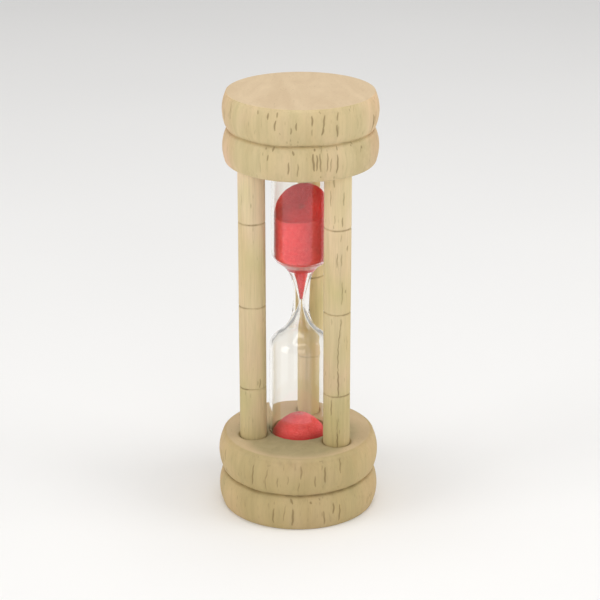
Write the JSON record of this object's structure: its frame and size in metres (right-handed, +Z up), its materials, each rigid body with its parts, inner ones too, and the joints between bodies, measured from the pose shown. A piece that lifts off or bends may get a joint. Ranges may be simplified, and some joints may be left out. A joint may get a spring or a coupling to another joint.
{
  "type": "hourglass",
  "caption": "Wooden sand timer: turned double-bead end caps on dowel posts with scored rings, around a blown glass vial of red sand.",
  "frame": {"origin": "centre of the flat underside of the bottom end cap, at the centre of the bounding box's lowest face", "axes": "+Z up along the timer's axis, towards the end cap above the fuller bulb; +Y towards the rear post; +X to the right of a viewer who looks along +Y"},
  "size_m": [0.0362, 0.0362, 0.0965],
  "materials": {
    "cap_wood": "turned beech with short dark rays, thin matte varnish",
    "post_wood": "birch dowel, long grain, bare and lightly sanded",
    "cork": "raw cork",
    "vial_glass": "clear blown soda-lime glass",
    "sand": "dry coral-red sand"
  },
  "bodies": {
    "frame": {"end_cap_bottom": "cap_wood", "end_cap_top": "cap_wood", "post_rear": "post_wood", "post_right": "post_wood", "post_left": "post_wood", "seat_disc_bottom": "cork", "seat_disc_top": "cork"},
    "vial": {"glass_vial": "vial_glass", "vial_stopper": "cork", "sand_upper": "sand", "sand_lower": "sand"}
  },
  "joints": [
    {"name": "glass_turn", "type": "hinge", "parent": "frame", "child": "vial", "pos_m": [0.0003, 0, 0.0487], "axis": [0, 0, 1], "continuous": true}
  ]
}
